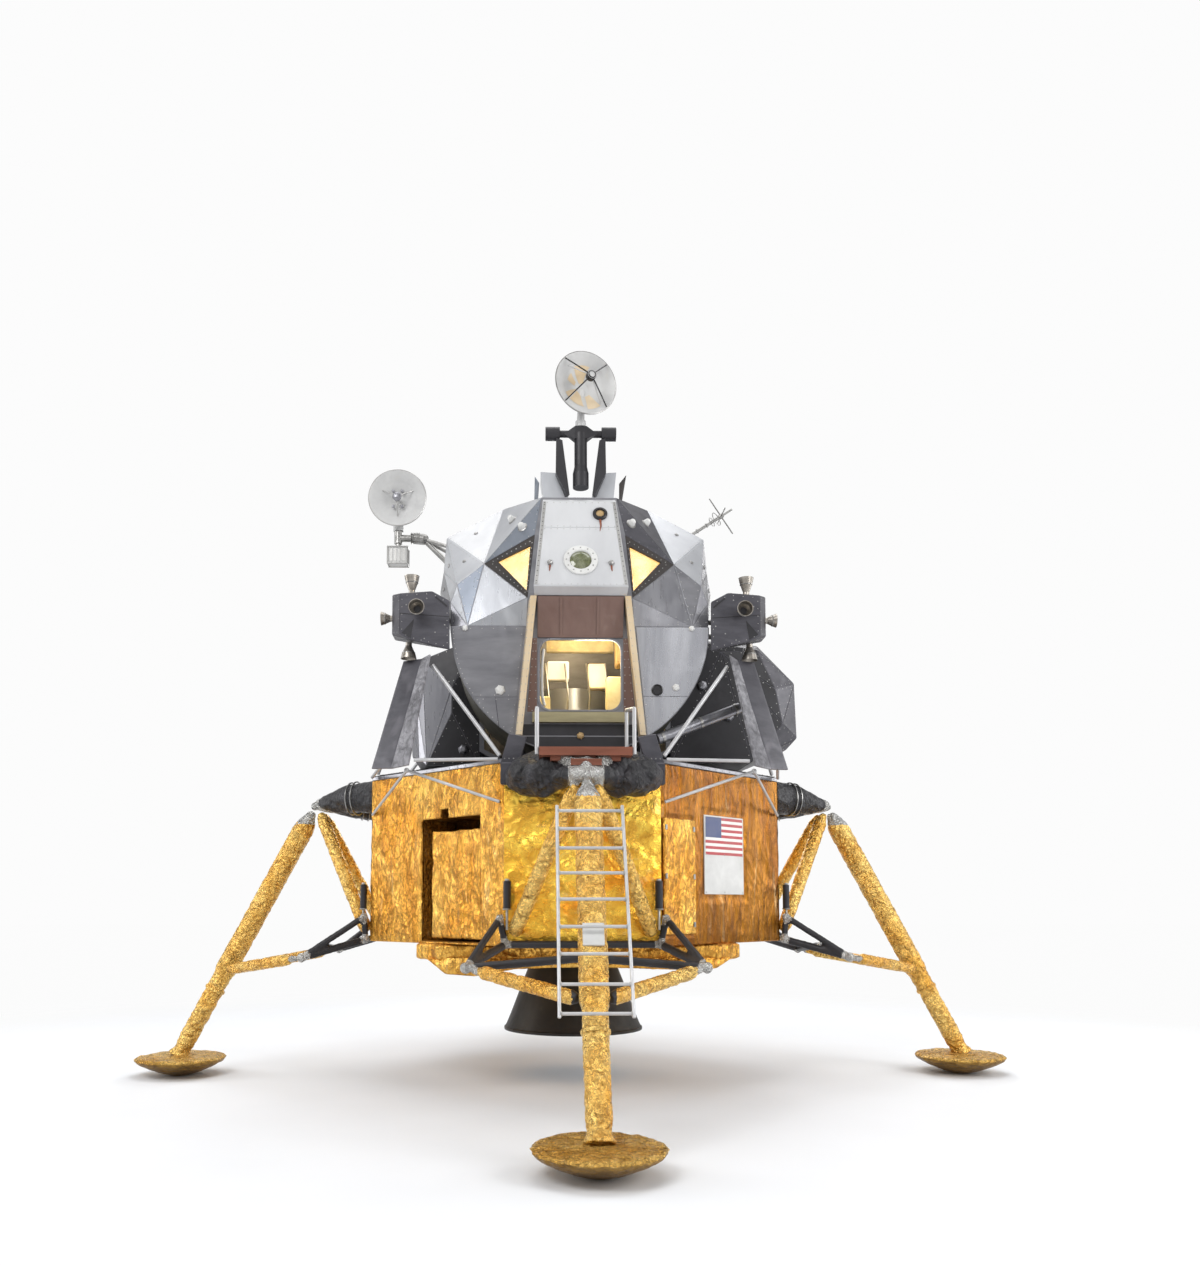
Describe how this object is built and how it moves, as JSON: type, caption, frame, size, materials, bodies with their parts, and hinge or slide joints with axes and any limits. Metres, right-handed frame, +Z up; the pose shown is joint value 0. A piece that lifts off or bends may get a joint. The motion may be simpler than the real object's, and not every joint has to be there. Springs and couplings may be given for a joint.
{
  "type": "lunar lander",
  "caption": "Two-stage crewed lunar lander on foil-wrapped sprung legs with dish footpads, an octagonal lower stage, a faceted cabin with front and roof hatches, and pointing dish antennas.",
  "frame": {"origin": "on the floor under the vehicle's centre line", "axes": "+Z up along the docking tunnel, -Y to the front, where the hatch, porch and ladder are, +X to the viewer's right from the front"},
  "size_m": [9.3998, 9.3998, 7.177],
  "materials": {
    "gold_foil": "satin metallised foil, crinkled",
    "dark_blanket": "matt",
    "black_blanket": "satin, wrinkled",
    "bare_metal": "satin",
    "brown_paint": "matt",
    "cream_paint": "satin",
    "white_paint": "satin",
    "grey_paint": "matt",
    "grey_panel": "satin",
    "dark_panel": "satin",
    "dark_metal": "matt",
    "nozzle_metal": "satin",
    "window_glass": "clear, warm tint"
  },
  "bodies": {
    "lander": {"stage_body": "gold_foil", "stage_deck": "dark_blanket", "base_shield": "gold_foil", "outriggers": "black_blanket", "outrigger_braces": "gold_foil", "main_struts": "gold_foil", "secondary_struts": "gold_foil", "deployment_trusses": "black_blanket", "gear_springs": "black_blanket", "footpads": "gold_foil", "ladder_rails": "bare_metal", "ladder_rungs": "bare_metal", "strut_plate": "bare_metal", "porch_floor": "brown_paint", "porch_rails": "cream_paint", "plume_deflectors": "black_blanket", "deflector_struts": "bare_metal", "sign_plate": "white_paint", "stowage_cover": "gold_foil", "radar_brackets": "bare_metal", "engine_mount": "bare_metal", "front_panel": "grey_panel", "window_panels": "grey_panel", "cabin_shoulders": "grey_panel", "cabin_barrel": "grey_panel", "window_glass": "window_glass", "front_beams": "cream_paint", "hatch_sill": "cream_paint", "nose_panel": "white_paint", "hatch_hood": "brown_paint", "nose_horns": "white_paint", "cabin_floor": "brown_paint", "instrument_panels": "grey_paint", "midsection": "grey_panel", "aft_bulkhead": "cream_paint", "engine_cover": "brown_paint", "docking_tunnel": "grey_paint", "aft_bay": "dark_panel", "left_tank_bay": "grey_panel", "right_tank_bay": "dark_panel", "interstage_skirt": "dark_blanket", "thruster_housings": "dark_panel", "thruster_booms": "bare_metal", "thruster_nozzles": "nozzle_metal", "radar_pedestal": "black_blanket", "antenna_boom": "bare_metal", "vhf_antennas": "bare_metal", "umbilical_tube": "brown_paint"},
    "front_hatch": {"front_hatch": "cream_paint"},
    "overhead_hatch": {"overhead_hatch": "cream_paint"},
    "radar_shaft": {"radar_shaft": "black_blanket"},
    "radar_dish": {"radar_dish": "white_paint"},
    "antenna_gimbal": {"antenna_gimbal": "white_paint"},
    "antenna_dish": {"antenna_dish": "white_paint"},
    "gimbal_ring": {"gimbal_ring": "bare_metal"},
    "descent_engine": {"descent_engine": "dark_metal"},
    "equipment_pallet": {"equipment_pallet": "gold_foil"},
    "landing_radar": {"landing_radar": "grey_panel"}
  },
  "joints": [
    {"name": "front_hatch_hinge", "type": "hinge", "parent": "lander", "child": "front_hatch", "pos_m": [-0.435, -1.662, 3.985], "axis": [0, 0, 1], "range_deg": [-88, 0]},
    {"name": "overhead_hatch_hinge", "type": "hinge", "parent": "lander", "child": "overhead_hatch", "pos_m": [0, 0.475, 5.78], "axis": [1, 0, 0], "range_deg": [0, 80]},
    {"name": "radar_shaft_axis", "type": "hinge", "parent": "lander", "child": "radar_shaft", "pos_m": [0.02, -1.52, 6.42], "axis": [1, 0, 0], "range_deg": [-70, 60]},
    {"name": "radar_trunnion_axis", "type": "hinge", "parent": "radar_shaft", "child": "radar_dish", "pos_m": [0.02, -1.52, 6.5], "axis": [0, 0, 1], "range_deg": [-72, 38]},
    {"name": "antenna_pitch_axis", "type": "hinge", "parent": "lander", "child": "antenna_gimbal", "pos_m": [-1.9, 0.3, 6.03], "axis": [1, 0, 0], "range_deg": [-75, 255]},
    {"name": "antenna_yaw_axis", "type": "hinge", "parent": "antenna_gimbal", "child": "antenna_dish", "pos_m": [-1.99, 0.3, 6.14], "axis": [0, 0, 1], "range_deg": [-75, 75]},
    {"name": "engine_gimbal_pitch", "type": "hinge", "parent": "lander", "child": "gimbal_ring", "pos_m": [0, 0, 2.08], "axis": [1, 0, 0], "range_deg": [-6, 6]},
    {"name": "engine_gimbal_roll", "type": "hinge", "parent": "gimbal_ring", "child": "descent_engine", "pos_m": [0, 0, 2.08], "axis": [0, 1, 0], "range_deg": [-6, 6]},
    {"name": "pallet_hinge", "type": "hinge", "parent": "lander", "child": "equipment_pallet", "pos_m": [-1.1531, -1.6015, 1.512], "axis": [0.7071, -0.7071, 0], "range_deg": [0, 100]},
    {"name": "landing_radar_tilt", "type": "hinge", "parent": "lander", "child": "landing_radar", "pos_m": [0.875, 1.515, 1.262], "axis": [1, 0, 0], "range_deg": [0, 24]}
  ]
}
